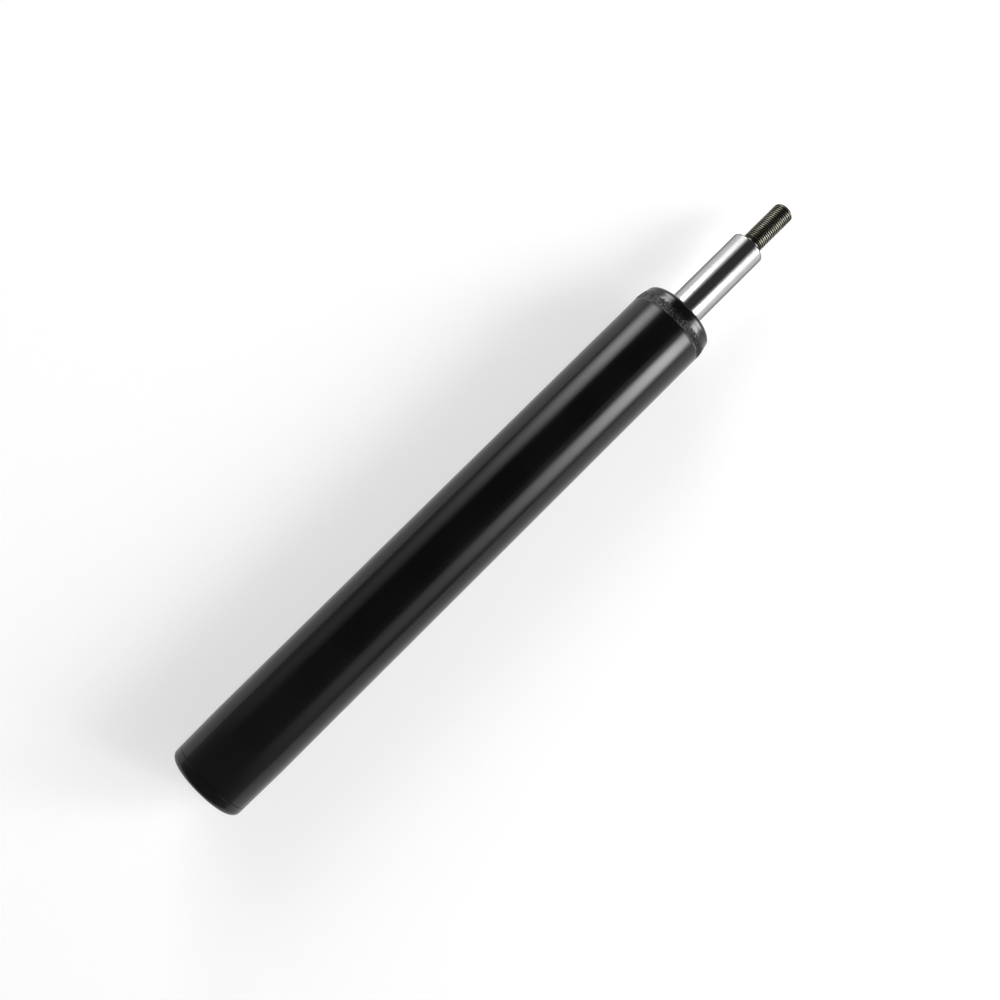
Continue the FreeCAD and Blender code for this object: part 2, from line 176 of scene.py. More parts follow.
@dataclass(frozen=True)
class Finish:
    """A surface finish: two tones, a roughness range and the marks of its making."""

    name: str
    tones: tuple[str, str]
    rough: Pair
    grain_mm: float
    bump_mm: float
    metallic: float = 1.0
    lay: Lay = Lay.CLOUDED
    ior: float = 1.5
    edge_tint: str = "#ffffff"
    grain_detail: float = 3.0
    cloud_share: float = 14.0
    cloud_detail: float = 2.0
    relief: float = 0.6

    def material(self) -> bpy.types.Material:
        """Make the material, or find it if it is made.

        Returns:
            The material.
        """
        found = bpy.data.materials.get(self.name)
        if found:
            return found
        made = bpy.data.materials.new(self.name)
        tree = new_tree(made)
        settings = {"Metallic": self.metallic, "IOR": self.ior, "Specular Tint": linear(self.edge_tint)}
        shader = add_node(tree, "BsdfPrincipled", settings, self.paint(tree))
        add_node(tree, "OutputMaterial", links={"Surface": shader})
        return made

    def marks(self, tree: Tree, size_mm: float, detail: float, roughness: float = 0.5) -> Node:
        """Add a noise pattern at the size of the finish's marks.

        Args:
            tree: node tree to add to.
            size_mm: size of one mark across its lay.
            detail: levels of finer noise.
            roughness: strength of each level over the one before it.

        Returns:
            The pattern, about 0.5 on average.
        """
        place = add_node(tree, "TexCoord").outputs["Object"]
        turned = add_node(tree, "Mapping", {"Scale": self.lay.value}, {"Vector": place})
        settings = {"Scale": 1 / (size_mm * MM), "Detail": detail, "Roughness": roughness}
        return add_node(tree, "TexNoise", settings, {"Vector": turned})

    def layers(self, tree: Tree, clouds: Node, gloss: Node, grain: Node) -> Look:
        """Turn patterns into tone, roughness and relief.

        Args:
            tree: node tree to add to.
            clouds: pattern of the tone.
            gloss: pattern of the roughness.
            grain: pattern of the relief.

        Returns:
            What feeds the shader.
        """
        tone = add_node(tree, "ValToRGB", links={"Fac": clouds})
        set_ramp(tone, [(NOISE_LOW, linear(self.tones[0])), (NOISE_HIGH, linear(self.tones[1]))])
        smooth, dull = self.rough
        rough = add_node(tree, "MapRange", {"From Min": NOISE_LOW, "From Max": NOISE_HIGH,
                                            "To Min": smooth, "To Max": dull}, {"Value": gloss})
        settings = {"Strength": self.relief, "Distance": self.bump_mm * MM}
        relief = add_node(tree, "Bump", settings, {"Height": grain})
        return {"Base Color": tone, "Roughness": rough, "Normal": relief}

    def paint(self, tree: Tree) -> Look:
        """Draw the finish: clouded tone, and fine marks in its roughness and relief.

        Args:
            tree: node tree of the material.

        Returns:
            What feeds the shader.
        """
        fine = self.marks(tree, self.grain_mm, self.grain_detail)
        broad = self.marks(tree, self.grain_mm * self.cloud_share, self.cloud_detail)
        return self.layers(tree, broad, fine, fine)


@dataclass(frozen=True)
class StovedEnamel(Finish):
    """Gloss black stoving enamel: a deep even black, sharp gloss, slight orange peel.

    Over the band that the closing roller scuffed, it is gritty, worn grey in grains and dull at both sides; a
    painted highlight is laid along the seam's edge in patches.
    """

    grain_detail: float = 1.0
    cloud_share: float = 18.0
    cloud_detail: float = 3.0
    relief: float = 0.5
    scuffed: Optional[Pair] = None
    scuff_tones: tuple[str, str, str] = ("#08080a", "#0c0c0e", "#606062")
    scuff_stops: tuple[float, float, float] = (0.47, 0.58, 0.69)
    scuff_rough: Pair = (0.28, 0.75)
    scuff_sides_mm: Pair = (4.0, 14.0)
    scuff_bump_mm: float = 0.35
    scuff_start_mm: float = 0.25
    scuff_fade_mm: float = 1.0
    grit_mm: float = 1.1
    grit_detail: float = 2.0
    grit_rough: float = 0.6
    grit_reach_mm: float = 12.0
    patch_mm: float = 7.0
    patch_reach_mm: float = 5.0
    # The grains grow lighter towards the left (+y), by this much per metre
    one_sided: float = 7.0
    # Painted highlight: a lighter tone laid along the seam's edge, just past the seam, in patches
    seam_highlight_tone: str = "#626264"
    seam_highlight_mm: Pair = (0.6, 1.0)
    seam_highlight_patches: Pair = (0.42, 0.6)
    seam_highlight_least: float = 0.15

    def paint(self, tree: Tree) -> Look:
        """Draw the enamel: hazy tone and gloss, orange peel, and its scuffed band if it has one.

        Args:
            tree: node tree of the material.

        Returns:
            What feeds the shader.
        """
        peel = self.marks(tree, self.grain_mm, self.grain_detail)
        haze = self.marks(tree, self.grain_mm * self.cloud_share, self.cloud_detail)
        clean = self.layers(tree, haze, haze, peel)
        return self.scuff(tree, clean) if self.scuffed else clean

    def scuff(self, tree: Tree, clean: Look) -> Look:
        """Lay the scuffed band over the clean enamel.

        Args:
            tree: node tree of the material.
            clean: what feeds the shader of clean enamel.

        Returns:
            What feeds the shader.
        """
        place = add_node(tree, "TexCoord").outputs["Object"]
        x, y, _ = add_node(tree, "SeparateXYZ", links={0: place}).outputs
        grit = self.marks(tree, self.grit_mm, self.grit_detail, self.grit_rough)
        patch = self.marks(tree, self.patch_mm, self.grit_detail)
        share = self.scuff_share(tree, x, grit, patch)
        worn = self.scuff_tone(tree, x, y, grit, patch)
        aside = add_node(tree, "Math", {"operation": "ABSOLUTE"}, {0: y})
        near, far = (side * MM for side in self.scuff_sides_mm)
        smooth, dull = self.scuff_rough
        gloss = add_node(tree, "MapRange", {"From Min": near, "From Max": far,
                                            "To Min": smooth, "To Max": dull}, {"Value": aside})
        tone = add_node(tree, "Mix", {"data_type": "RGBA"}, {0: share, 6: clean["Base Color"], 7: worn})
        rough = add_node(tree, "Mix", {"data_type": "FLOAT"}, {0: share, 2: clean["Roughness"], 3: gloss})
        relief = add_node(tree, "Bump", {"Distance": self.scuff_bump_mm * MM},
                          {"Strength": share, "Height": grit, "Normal": clean["Normal"]})
        return {"Base Color": tone.outputs[2], "Roughness": rough, "Normal": relief}

    def scuff_share(self, tree: Tree, x: Source, grit: Node, patch: Node) -> Node:
        """Find where the enamel is scuffed: sharp at the seam, dissolving into grit towards the rim.

        Args:
            tree: node tree of the material.
            x: place along the axis.
            grit: fine pattern of the band.
            patch: broad pattern of the band.

        Returns:
            The share of scuffing.
        """
        low, high = self.scuffed
        shifted = x
        for pattern, reach in ((patch, self.patch_reach_mm), (grit, self.grit_reach_mm)):
            settings = {"operation": "MULTIPLY_ADD", 1: reach * MM}
            shifted = add_node(tree, "Math", settings, {0: pattern, 2: shifted})
        full = low + self.scuff_start_mm
        start = add_node(tree, "MapRange", {"From Min": low * MM, "From Max": full * MM}, {"Value": x})
        last = high + (self.patch_reach_mm + self.grit_reach_mm) / 2
        fade = last - self.scuff_fade_mm
        end = add_node(tree, "MapRange", {"From Min": last * MM, "From Max": fade * MM}, {"Value": shifted})
        return add_node(tree, "Math", MULTIPLY, {0: start, 1: end})

    def scuff_tone(self, tree: Tree, x: Source, y: Source, grit: Node, patch: Node) -> Source:
        """Colour the scuffed film: worn grains that grow lighter towards the left, and a painted highlight
        laid along the seam's edge in patches.

        Args:
            tree: node tree of the material.
            x: place along the axis.
            y: place to the left of the axis.
            grit: fine pattern of the band.
            patch: broad pattern of the band.

        Returns:
            The colour.
        """
        # The grains grow lighter towards the left
        wear = add_node(tree, "Math", {"operation": "MULTIPLY_ADD", 1: self.one_sided}, {0: y, 2: grit})
        worn = add_node(tree, "ValToRGB", links={"Fac": wear})
        set_ramp(worn, [(stop, linear(tone)) for stop, tone in zip(self.scuff_stops, self.scuff_tones)])
        # Painted highlight: a lighter tone along the seam's edge, strongest next to the seam and laid in
        # patches
        near, far = ((self.scuffed[0] + run) * MM for run in self.seam_highlight_mm)
        edge = add_node(tree, "MapRange", {"From Min": far, "From Max": near}, {"Value": x})
        few, many = self.seam_highlight_patches
        touched = add_node(tree, "MapRange", {"From Min": few, "From Max": many, "To Min": self.seam_highlight_least},
                           {"Value": patch})
        rubbed = add_node(tree, "Math", MULTIPLY, {0: edge, 1: touched})
        settings = {"data_type": "RGBA", 7: linear(self.seam_highlight_tone)}
        return add_node(tree, "Mix", settings, {0: rubbed, 6: worn}).outputs[2]


@dataclass(frozen=True)
class PhosphatedThread(Finish):
    """Rolled thread in oiled phosphate: dark brown-grey roots, rubbed bright in patches on the crests."""

    grain_detail: float = 4.0
    relief: float = 0.5
    crest: str = "#75736a"
    crest_rough: float = 0.32
    crest_mm: Pair = (5.7, 5.98)
    patch_mm: float = 7.0
    patches: Pair = (0.4, 0.6)
    patch_least: float = 0.1

    def paint(self, tree: Tree) -> Look:
        """Draw the thread: phosphate all over, brighter and smoother towards the crests.

        Args:
            tree: node tree of the material.

        Returns:
            What feeds the shader.
        """
        fine = self.marks(tree, self.grain_mm, self.grain_detail)
        patch = self.marks(tree, self.patch_mm, self.cloud_detail)
        plain = self.layers(tree, fine, fine, fine)
        place = add_node(tree, "TexCoord").outputs["Object"]
        across = add_node(tree, "VectorMath", {**MULTIPLY, 1: (0.0, 1.0, 1.0)}, {0: place})
        radius = add_node(tree, "VectorMath", {"operation": "LENGTH"}, {0: across}).outputs["Value"]
        low, high = (at * MM for at in self.crest_mm)
        rubbed = add_node(tree, "MapRange", {"From Min": low, "From Max": high}, {"Value": radius})
        few, many = self.patches
        worn = add_node(tree, "MapRange", {"From Min": few, "From Max": many, "To Min": self.patch_least},
                        {"Value": patch})
        shine = add_node(tree, "Math", MULTIPLY, {0: rubbed, 1: worn})
        crest = {"data_type": "RGBA", 7: linear(self.crest)}
        tone = add_node(tree, "Mix", crest, {0: shine, 6: plain["Base Color"]})
        polish = {"data_type": "FLOAT", 3: self.crest_rough}
        rough = add_node(tree, "Mix", polish, {0: shine, 2: plain["Roughness"]})
        return {**plain, "Base Color": tone.outputs[2], "Roughness": rough}


# Gloss black stoving enamel on steel: black body, mirror gloss broken by a faint orange peel
ENAMEL = StovedEnamel("gloss_black_stoving_enamel", tones=("#08080a", "#0d0d0f"), rough=(0.12, 0.18),
                      grain_mm=1.6, bump_mm=0.003, metallic=0.0, ior=1.4)
# The same enamel on the tube, with the band under the rim that the closing roller scuffed and a painted
# highlight along its seam
TUBE_ENAMEL = replace(ENAMEL, name="scuffed_black_stoving_enamel", scuffed=(340.6, 346.0))
# Hard chrome, ground and polished: bright grey metal, darker at a glancing angle, with fine grinding marks
# around the rod that are drawn at 0.35 mm, coarser than they are, so that they show
CHROME = Finish("hard_chrome_plate", tones=("#b2b3b3", "#babbbb"), rough=(0.13, 0.17),
                grain_mm=0.35, bump_mm=0.0006, lay=Lay.AROUND, edge_tint="#808080")
# Painted shade at the rod's rounded end: turned steel past the plating, made dark grey and darker still at a
# glancing angle so that the end shows a dark outline, with tool marks around it
ROD_END_SHADE_STEEL = Finish("rod_end_painted_shade", tones=("#52514e", "#6a6965"), rough=(0.28, 0.4),
                      grain_mm=0.4, bump_mm=0.003, lay=Lay.AROUND, edge_tint="#3a3938")
# Rolled thread in oiled phosphate: dark, dull and slightly brown
THREAD = PhosphatedThread("oiled_phosphate_thread", tones=("#46443c", "#5d5a51"), rough=(0.34, 0.48),
                          grain_mm=0.4, bump_mm=0.008)
# Bright drawn steel: light grey metal with fine marks along the draw
DRAWN_STEEL = Finish("bright_drawn_steel", tones=("#b4b5b6", "#c6c7c8"), rough=(0.22, 0.34),
                     grain_mm=0.5, bump_mm=0.003, lay=Lay.ALONG)
# Tempered spring steel: darker, straw to blue grey from the oven
SPRING_STEEL = Finish("tempered_spring_steel", tones=("#6e7076", "#8c8a86"), rough=(0.25, 0.4),
                      grain_mm=0.5, bump_mm=0.002)
# Bright zinc plate: pale, slightly blue and cloudy
ZINC_PLATE = Finish("bright_zinc_plate", tones=("#b9bdc4", "#d3d6da"), rough=(0.2, 0.36),
                    grain_mm=0.8, bump_mm=0.004)
# Pressed and sintered iron: dull grey, with open pores that are drawn coarse enough to show
SINTERED_IRON = Finish("sintered_iron", tones=("#56554f", "#77756f"), rough=(0.45, 0.62),
                       grain_mm=0.35, bump_mm=0.02)
# Sintered bronze bearing lining: dull gold brown
BRONZE = Finish("sintered_bronze", tones=("#8f6a37", "#b08a50"), rough=(0.35, 0.5),
                grain_mm=0.3, bump_mm=0.008)
# Oil resistant moulded rubber: near black, dull, faint bloom
RUBBER = Finish("moulded_nitrile_rubber", tones=("#141415", "#222224"), rough=(0.5, 0.68),
                grain_mm=0.6, bump_mm=0.01, metallic=0.0)
# Cast polyurethane: honey coloured, slightly waxy
URETHANE = Finish("cast_polyurethane", tones=("#b98a3c", "#c99d4f"), rough=(0.34, 0.48),
                  grain_mm=0.8, bump_mm=0.006, metallic=0.0)
# Bronze filled fluoropolymer: brown, silky
FILLED_PTFE = Finish("bronze_filled_fluoropolymer", tones=("#6a4d35", "#7c5d42"), rough=(0.38, 0.5),
                     grain_mm=0.4, bump_mm=0.003, metallic=0.0, ior=1.38)

SLOT_FINISH: dict[str, Finish] = {
    "gloss_black": ENAMEL,
    "hard_chrome": CHROME,
    "plain_steel": DRAWN_STEEL,
    "spring_steel": SPRING_STEEL,
    "zinc_steel": ZINC_PLATE,
    "sintered_iron": SINTERED_IRON,
    "bronze": BRONZE,
    "black_rubber": RUBBER,
    "bumper_urethane": URETHANE,
    "ptfe": FILLED_PTFE,
}


def choose(piece: Piece) -> None:
    """Leave edit mode, and make one piece the only selected object and the active one.

    Args:
        piece: mesh object to choose.
    """
    if bpy.context.object and bpy.context.object.mode != "OBJECT":
        bpy.ops.object.mode_set(mode="OBJECT")
    bpy.ops.object.select_all(action="DESELECT")
    piece.select_set(True)
    bpy.context.view_layer.objects.active = piece


def edit(piece: Piece) -> None:
    """Open one piece alone for editing, with all of its points selected.

    Args:
        piece: mesh object to open.
    """
    choose(piece)
    bpy.ops.object.mode_set(mode="EDIT")
    bpy.ops.mesh.select_mode(type="VERT")
    bpy.ops.mesh.select_all(action="SELECT")


def fill(piece: Piece, wanted: Callable[[Vector], bool]) -> None:
    """Fill the ring of points that pass a test.

    Args:
        piece: mesh object that is open for editing.
        wanted: test of a point, in metres.
    """
    bpy.ops.mesh.select_all(action="DESELECT")
    bpy.ops.object.mode_set(mode="OBJECT")
    for point in piece.data.vertices:
        point.select = wanted(point.co)
    bpy.ops.object.mode_set(mode="EDIT")
    bpy.ops.mesh.edge_face_add()


def trim(low: float, high: float) -> None:
    """Cut the piece that is open for editing square at both ends, and fill the cuts.

    Args:
        low: x of the first cut, in millimetres.
        high: x of the second cut.
    """
    for cut_x, keep_right in ((low, True), (high, False)):
        bpy.ops.mesh.select_all(action="SELECT")
        bpy.ops.mesh.bisect(plane_co=(cut_x * MM, 0, 0), plane_no=(1, 0, 0), use_fill=True, threshold=MERGE,
                            clear_inner=keep_right, clear_outer=not keep_right)


def close_up(piece: Piece, sharp_degrees: float = SHARP) -> None:
    """Merge doubles, turn faces outwards and shade smooth except at sharp edges.

    Args:
        piece: mesh object to finish.
        sharp_degrees: edges that turn more than this stay sharp.
    """
    edit(piece)
    bpy.ops.mesh.remove_doubles(threshold=MERGE)
    bpy.ops.mesh.normals_make_consistent()
    bpy.ops.object.mode_set(mode="OBJECT")
    bpy.ops.object.shade_smooth_by_angle(angle=math.radians(sharp_degrees))


def cut_by(piece: Piece, tool: Piece, cut: Cut) -> None:
    """Cut one piece by another and delete the cutter.

    Args:
        piece: mesh object to cut.
        tool: mesh object to cut it by.
        cut: what the cutter does.
    """
    change = piece.modifiers.new("cut", "BOOLEAN")
    change.operation = cut.value
    change.solver = "EXACT"
    change.object = tool
    choose(piece)
    bpy.ops.object.modifier_apply(modifier=change.name)
    choose(tool)
    bpy.ops.object.delete()


def turn_piece(name: str, stations: Sequence[Pair], segments: int, hollow: bool) -> Piece:
    """Turn a piece about the x axis: a circle is extruded from station to station.

    Args:
        name: name of the piece.
        stations: x and radius of each ring, in millimetres; a solid piece's ends are filled flat.
        segments: points around each ring.
        hollow: True if the last ring joins the first, so that the outline goes round a wall.

    Returns:
        The finished mesh object.
    """
    x, radius = stations[0]
    bpy.ops.mesh.primitive_circle_add(vertices=segments, radius=radius * MM, fill_type="NOTHING",
                                      location=(x * MM, 0, 0), rotation=(0, math.pi / 2, 0))
    piece = bpy.context.object
    piece.name = piece.data.name = name
    bpy.ops.object.transform_apply()
    edit(piece)
    loop = list(stations[1:]) + ([stations[0]] if hollow else [])
    for next_x, next_radius in loop:
        bpy.ops.mesh.extrude_region_move(TRANSFORM_OT_translate={"value": ((next_x - x) * MM, 0, 0)})
        growth = next_radius / radius
        bpy.ops.transform.resize(value=(1, growth, growth), center_override=(next_x * MM, 0, 0))
        x, radius = next_x, next_radius
    if not hollow:
        bpy.ops.mesh.edge_face_add()
        first = stations[0][0] * MM
        fill(piece, lambda p: abs(p.x - first) < MERGE)
    close_up(piece)
    return piece


def rounded(centre: Pair, size: float, first: float, last: float, steps: int) -> list[Pair]:
    """List the stations along a rounded edge.

    Args:
        centre: x and radius of the edge's centre.
        size: radius of the rounding.
        first: angle it starts at, in degrees; 0 faces outwards and 90 faces along +x.
        last: angle it ends at.
        steps: sides along the rounding.

    Returns:
        The stations, both ends included.
    """
    angles = [math.radians(first + (last - first) * i / steps) for i in range(steps + 1)]
    return [(centre[0] + size * math.sin(a), centre[1] + size * math.cos(a)) for a in angles]


def dress(piece: Piece, finish: Finish) -> None:
    """Give a piece or a carried-over node its finish as its only material."""
    piece.data.materials.clear()
    piece.data.materials.append(finish.material())


@dataclass
class Shell:
    """Black shell: the tube with its rolled rim, and the cap that closes the other end.

    Lands are short runs beside a bend, which keep its smooth shading from spreading.
    """

    radius: float = 23.25
    wall: float = 1.75
    length: float = 352.5
    joint_x: float = 6.5
    joint_width: float = 0.5
    joint_depth: float = 0.25
    taper_end: float = 32.0
    taper_lands: Pair = (5.0, 3.0)
    narrowing: float = 0.5
    end_edge: float = 3.6
    cap_floor: float = 3.0
    cap_spigot_bore: float = 18.6
    cap_spigot_top: float = 12.75
    fit: float = 0.02
    seam_x: float = 340.5
    seam_lands: Pair = (0.9, 0.3)
    seam_profile: tuple[Pair, ...] = ((-0.05, 0.16), (0.28, 1.0), (0.62, 0.08))
    crown_step: float = 0.3
    rim_drop: float = 1.2
    rim_edge: float = 3.5
    lip_width: float = 3.0
    lip_rounding: float = 0.5
    inner_rings: tuple[float, ...] = (347.0, 345.0, 343.0)
    scuff_end: float = 344.6
    scuff_run_out: float = 1.5
    scuff_rise: float = 0.4
    scuff_fall: float = 2.6
    scuff_least: float = 0.35
    wrinkle_size: float = 0.9
    wrinkle_octaves: int = 2
    wrinkle_height: float = 0.6
    wrinkle_level: float = 0.62
    edge_steps: int = 14
    inner_steps: int = 8
    lip_steps: int = 5
    segments: int = 360

    def taper(self, x: float) -> float:
        """Return the outside radius at x, where the shell narrows towards the cap or is straight."""
        share = (x - self.end_edge) / (self.taper_end - self.end_edge)
        return self.radius - self.narrowing * (1 - min(share, 1.0))

    def crown(self, x: float, base: float) -> float:
        """Return the radius of the rim's crown at x, for the wall whose straight radius is base."""
        start = self.seam_x + self.joint_width
        return base - self.rim_drop * max((x - start) / (self.length - self.rim_edge - start), 0.0) ** 2

    def build_tube(self) -> Piece:
        """Turn the tube: outside from the cap joint to the rim, over the lip, and back inside.

        Returns:
            The tube's mesh object.
        """
        bore = self.radius - self.wall
        edge_x = self.length - self.rim_edge
        edge_centre = self.radius - self.rim_drop - self.rim_edge
        lip_bore = edge_centre - self.lip_width
        soft = self.lip_rounding
        joint = self.joint_x + self.joint_width / 2
        before, after = self.taper_lands
        far, near = self.seam_lands
        straight = (self.joint_x + self.joint_width, self.taper_end - before, self.taper_end,
                    self.taper_end + after, self.seam_x - far, self.seam_x - near)
        stations = [(joint, self.taper(self.joint_x) - self.joint_depth)]
        stations += [(x, self.taper(x)) for x in straight]
        stations += [(self.seam_x + run, self.radius - self.joint_depth * share)
                     for run, share in self.seam_profile]
        x = stations[-1][0] + self.crown_step
        while x < edge_x - self.crown_step / 2:
            stations.append((x, self.crown(x, self.radius)))
            x += self.crown_step if x < self.scuff_end else 2 * self.crown_step
        stations += rounded((edge_x, edge_centre), self.rim_edge, 0, 90, self.edge_steps)
        stations += rounded((self.length - soft, lip_bore + soft), soft, 90, 180, self.lip_steps)
        stations += [(self.length - self.wall, lip_bore)]
        stations += rounded((edge_x, edge_centre), self.rim_edge - self.wall, 90, 0, self.inner_steps)
        stations += [(x, self.crown(x, bore)) for x in self.inner_rings]
        stations += [(self.seam_x, bore), (joint, bore)]
        return turn_piece("shell_tube", stations, self.segments, hollow=True)

    def roughen_seam(self, tube: Piece) -> None:
        """Wrinkle the band between the seam and the rim, as the closing roller leaves it.

        Args:
            tube: the tube's mesh object.
        """
        low = self.seam_x + self.joint_width
        high = self.scuff_end + self.scuff_run_out
        group = tube.vertex_groups.new(name="scuffed_band")
        for point in tube.data.vertices:
            x = point.co.x / MM
            if low <= x <= high and math.hypot(point.co.y, point.co.z) / MM > self.radius - self.rim_drop:
                rise = min((x - low) / self.scuff_rise + self.scuff_least, 1.0)
                fall = min((high - x) / self.scuff_fall, 1.0)
                group.add([point.index], rise * fall, "REPLACE")
        wrinkle = bpy.data.textures.new("roller_wrinkles", type="CLOUDS")
        wrinkle.noise_scale = self.wrinkle_size * MM
        wrinkle.noise_depth = self.wrinkle_octaves
        push = tube.modifiers.new("roller_wrinkles", "DISPLACE")
        push.texture = wrinkle
        push.texture_coords = "LOCAL"
        push.vertex_group = group.name
        push.mid_level = self.wrinkle_level
        push.strength = self.wrinkle_height * MM
        choose(tube)
        bpy.ops.object.modifier_apply(modifier=push.name)

    def build_cap(self) -> Piece:
        """Turn the end cap: flat seat, rounded edge, short skirt and a spigot inside the tube.

        Returns:
            The cap's mesh object.
        """
        edge_centre = self.radius - self.narrowing - self.end_edge
        joint = self.joint_x + self.joint_width / 2
        spigot = self.radius - self.wall - self.fit
        # A ring half way in keeps the seat's shading flat
        stations = [(0.0, edge_centre / 2)]
        stations += rounded((self.end_edge, edge_centre), self.end_edge, -90, 0, self.edge_steps)
        stations += [(self.joint_x, self.taper(self.joint_x)),
                     (joint, self.taper(self.joint_x) - self.joint_depth),
                     (joint, spigot), (self.cap_spigot_top, spigot),
                     (self.cap_spigot_top, self.cap_spigot_bore), (self.cap_floor, self.cap_spigot_bore)]
        return turn_piece("end_cap", stations, self.segments, hollow=False)

    def build(self) -> list[Piece]:
        """Build and dress the shell.

        Returns:
            Its pieces.
        """
        tube, cap = self.build_tube(), self.build_cap()
        self.roughen_seam(tube)
        dress(tube, TUBE_ENAMEL)
        dress(cap, ENAMEL)
        for piece, node in ((tube, "outer_tube"), (cap, "base_cap")):
            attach(piece, "barrel")
            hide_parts(node)
        return [tube, cap]


@dataclass
class Rod:
    """Chromed piston rod with its collar groove and spigot, and the threaded stud."""

    radius: float = 10.0
    shoulder: float = 407.0
    end_rounding: float = 0.8
    end_land: float = 0.6
    # Past this the rod's rounded end takes dark steel, as painted shade along its edge
    shade_ring_start: float = 406.22
    spigot_radius: float = 5.0
    spigot_end: float = 24.4
    spigot_chamfer: float = 0.8
    spigot_shoulder: float = 61.9
    groove_low: float = 144.75
    groove_high: float = 147.75
    groove_radius: float = 9.2
    neck_radius: float = 5.1
    neck_end: float = 409.6
    neck_fillet: float = 0.35
    stud_end: float = 437.0
    major_radius: float = 6.0
    pitch: float = 1.25
    thread_depth_share: float = 0.6134
    root_share: float = 0.12
    root_rise: float = 0.02
    flank_share: float = 0.16
    crest_share: float = 0.1
    crest_drop: float = 0.025
    spare_turns: int = 2
    tip_chamfer: float = 1.5
    cutter_proud: float = 0.2
    cutter_lap: float = 0.1
    cutter_drop: float = 0.02
    sharp: float = 30.0
    segments: int = 224
    end_steps: int = 8
    fillet_steps: int = 4
    thread_steps: int = 72

    def build_shaft(self) -> Piece:
        """Turn the rod from its spigot to the relief at the stud's foot.

        Returns:
            The shaft's mesh object.
        """
        soft = self.end_rounding
        fillet = self.neck_fillet
        foot = self.neck_radius + fillet
        stations = [(self.spigot_end, self.spigot_radius - self.spigot_chamfer),
                    (self.spigot_end + self.spigot_chamfer, self.spigot_radius),
                    (self.spigot_shoulder, self.spigot_radius), (self.spigot_shoulder, self.radius),
                    (self.groove_low, self.radius), (self.groove_low, self.groove_radius),
                    (self.groove_high, self.groove_radius), (self.groove_high, self.radius),
                    (self.shoulder - soft - self.end_land, self.radius)]
        stations += rounded((self.shoulder - soft, self.radius - soft), soft, 0, 90, self.end_steps)
        stations += rounded((self.shoulder + fillet, foot), fillet, 270, 180, self.fillet_steps)
        stations += [(self.neck_end, self.neck_radius)]
        return turn_piece("rod_shaft", stations, self.segments, hollow=False)

    def thread_outline(self) -> list[Pair]:
        """Draw one pitch of the thread, from root to root.

        Returns:
            The x and radius of its points.
        """
        root = self.major_radius - self.thread_depth_share * self.pitch
        edge = self.major_radius - self.crest_drop
        flat = self.root_share * self.pitch
        flank = self.flank_share * self.pitch
        crest = self.crest_share * self.pitch
        middle = self.pitch / 2
        return [(0.0, root), (flat, root + self.root_rise), (middle - flank, edge),
                (middle - crest, self.major_radius), (middle + crest, self.major_radius),
                (middle + flank, edge), (self.pitch - flat, root + self.root_rise), (self.pitch, root)]

    def build_thread(self) -> Piece:
        """Wind one tooth into a thread, cut it to length and bevel both its ends.

        Returns:
            The stud's mesh object.
        """
        bpy.ops.mesh.primitive_plane_add(size=MM)
        stud = bpy.context.object
        stud.name = stud.data.name = "stud_thread"
        edit(stud)
        bpy.ops.mesh.merge(type="CENTER")
        start = self.neck_end - self.spare_turns * self.pitch
        (x, radius), *others = self.thread_outline()
        bpy.ops.transform.translate(value=((start + x) * MM, 0, radius * MM))
        for next_x, next_radius in others:
            move = ((next_x - x) * MM, 0, (next_radius - radius) * MM)
            bpy.ops.mesh.extrude_vertices_move(TRANSFORM_OT_translate={"value": move})
            x, radius = next_x, next_radius
        bpy.ops.object.mode_set(mode="OBJECT")
        wind = stud.modifiers.new("wind", "SCREW")
        wind.axis = "X"
        wind.angle = 2 * math.pi
        wind.screw_offset = self.pitch * MM
        wind.iterations = math.ceil((self.stud_end - self.neck_end) / self.pitch) + 2 * self.spare_turns
        wind.steps = wind.render_steps = self.thread_steps
        bpy.ops.object.modifier_apply(modifier=wind.name)
        edit(stud)
        bpy.ops.mesh.remove_doubles(threshold=TURN_MERGE)
        trim(self.neck_end - self.pitch / 2, self.stud_end + self.pitch / 2)
        close_up(stud, self.sharp)
        self.bevel_ends(stud)
        return stud

    def bevel_ends(self, stud: Piece) -> None:
        """Cut the wound thread back to the stud's own outline, with bevelled ends.

        Args:
            stud: the wound thread.
        """
        over = self.major_radius + self.cutter_proud
        outline = [(self.neck_end - self.cutter_lap, self.neck_radius - self.cutter_drop),
                   (self.neck_end, self.neck_radius),
                   (self.neck_end + over - self.neck_radius, over),
                   (self.stud_end - self.tip_chamfer - self.cutter_proud, over),
                   (self.stud_end, self.major_radius - self.tip_chamfer)]
        envelope = turn_piece("stud_outline", outline, self.thread_steps * 2, hollow=False)
        cut_by(stud, envelope, Cut.KEEP_INSIDE)
        close_up(stud, self.sharp)

    def build(self) -> list[Piece]:
        """Build and dress the rod.

        Returns:
            Its pieces.
        """
        shaft, stud = self.build_shaft(), self.build_thread()
        dress(shaft, CHROME)
        # The rounded end past the chrome is painted shade: dark steel that draws a dark outline
        shaft.data.materials.append(ROD_END_SHADE_STEEL.material())
        for face in shaft.data.polygons:
            face.material_index = int(face.center.x > self.shade_ring_start * MM)
        dress(stud, THREAD)
        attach(shaft, "rod")
        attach(stud, "rod")
        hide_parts("piston_rod")
        return [shaft, stud]


